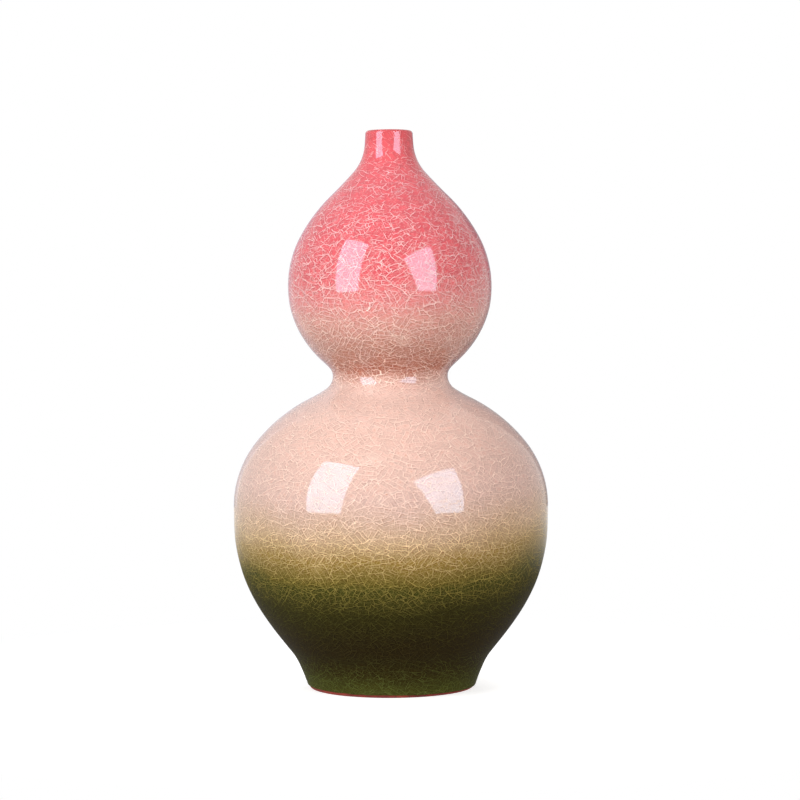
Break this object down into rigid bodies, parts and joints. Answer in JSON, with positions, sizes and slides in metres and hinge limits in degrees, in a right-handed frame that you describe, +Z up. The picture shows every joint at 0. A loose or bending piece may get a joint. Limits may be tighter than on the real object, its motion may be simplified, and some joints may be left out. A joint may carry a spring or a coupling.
{
  "type": "double gourd vase",
  "caption": "Double gourd vase in crackle-glazed ceramic, shading from rose through peach to dark green, with a narrow mouth for stems and a bare foot ring.",
  "frame": {"origin": "centre of the foot ring's underside, on the surface that the vase stands on", "axes": "+Z up along the vase's axis, out of the mouth; the vase is round about it, and -Y faces the viewer of the picture"},
  "size_m": [0.1698, 0.1698, 0.3],
  "materials": {
    "clay_body": "fired buff stoneware",
    "bare_foot": "bare iron-red clay, dry and matt",
    "luting_slip": "fired slip of the same clay",
    "rose_glaze": "glossy rose crackle glaze",
    "peach_glaze": "glossy peach crackle glaze",
    "green_glaze": "glossy olive to dark green crackle glaze",
    "inner_glaze": "glossy cream glaze",
    "base_glaze": "glossy cream glaze"
  },
  "bodies": {
    "root": {"neck": "clay_body", "upper_dome": "clay_body", "upper_bowl": "clay_body", "lower_dome": "clay_body", "lower_bowl": "clay_body", "base_slab": "clay_body", "foot_ring": "bare_foot", "neck_luting_slip": "luting_slip", "upper_belly_luting_slip": "luting_slip", "waist_luting_slip": "luting_slip", "belly_luting_slip": "luting_slip", "base_luting_slip": "luting_slip", "foot_luting_slip": "luting_slip", "rose_glaze": "rose_glaze", "peach_glaze": "peach_glaze", "green_glaze": "green_glaze", "inner_glaze": "inner_glaze", "base_glaze": "base_glaze"}
  },
  "joints": []
}
